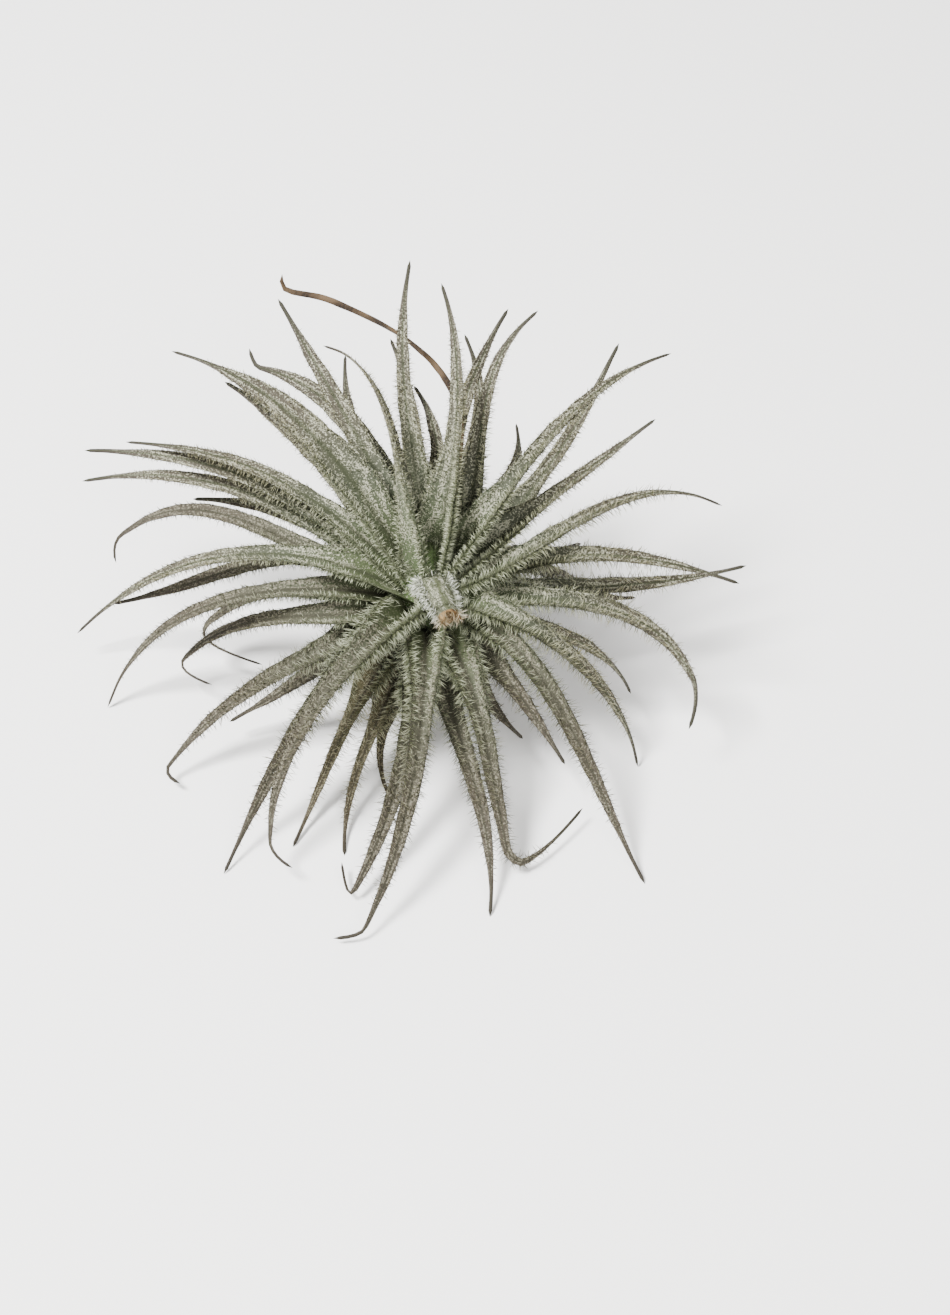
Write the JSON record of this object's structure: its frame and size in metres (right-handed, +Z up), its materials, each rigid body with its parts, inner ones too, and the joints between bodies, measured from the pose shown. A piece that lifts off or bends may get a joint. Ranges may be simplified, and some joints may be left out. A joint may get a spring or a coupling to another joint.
{
  "type": "air plant",
  "caption": "Small fuzzy rosette air plant: narrow channelled leaves with thread-thin tips radiate from a short stem, with a leaf broken off short and a withered strand.",
  "frame": {"origin": "centre of the cut flat end of the stem, on the surface that the plant rests on", "axes": "+Z up along the stem, -Y towards the side with the broken leaf (the front), +X to the plant's right seen from the front"},
  "size_m": [0.1085, 0.0945, 0.058],
  "materials": {
    "stem": "matte, dry and fibrous",
    "leaf": "matte, covered in fine silver hairs",
    "young_leaf": "matte, greener, with fine silver hairs",
    "old_leaf": "matte, darker, with few hairs",
    "withered_leaf": "dry, brown and papery"
  },
  "bodies": {
    "root": {"leaf_back_01": "young_leaf", "leaf_back_02": "young_leaf", "leaf_back_03": "leaf", "leaf_back_04": "leaf", "leaf_back_05": "leaf", "leaf_back_06": "leaf", "leaf_back_07": "leaf", "leaf_back_08": "leaf", "leaf_back_09": "leaf", "leaf_back_10": "young_leaf", "leaf_back_11": "leaf", "leaf_back_12": "leaf", "leaf_broken": "leaf", "leaf_front_01": "leaf", "leaf_front_02": "leaf", "leaf_front_03": "leaf", "leaf_front_04": "leaf", "leaf_front_05": "old_leaf", "leaf_front_06": "old_leaf", "leaf_front_07": "old_leaf", "leaf_front_08": "leaf", "leaf_front_09": "leaf", "leaf_front_10": "leaf", "leaf_front_11": "leaf", "leaf_left_01": "leaf", "leaf_left_02": "leaf", "leaf_left_03": "leaf", "leaf_left_04": "leaf", "leaf_left_05": "leaf", "leaf_left_06": "leaf", "leaf_left_07": "leaf", "leaf_left_08": "leaf", "leaf_left_09": "leaf", "leaf_left_10": "leaf", "leaf_left_11": "leaf", "leaf_left_12": "leaf", "leaf_left_13": "leaf", "leaf_left_14": "leaf", "leaf_left_15": "leaf", "leaf_right_01": "leaf", "leaf_right_02": "leaf", "leaf_right_03": "leaf", "leaf_right_04": "leaf", "leaf_right_05": "leaf", "leaf_right_06": "leaf", "leaf_right_07": "leaf", "leaf_right_08": "leaf", "leaf_right_09": "leaf", "leaf_under_01": "leaf", "leaf_under_02": "leaf", "leaf_under_03": "leaf", "leaf_under_04": "leaf", "leaf_under_05": "leaf", "leaf_withered": "withered_leaf", "stem": "stem"}
  },
  "joints": []
}
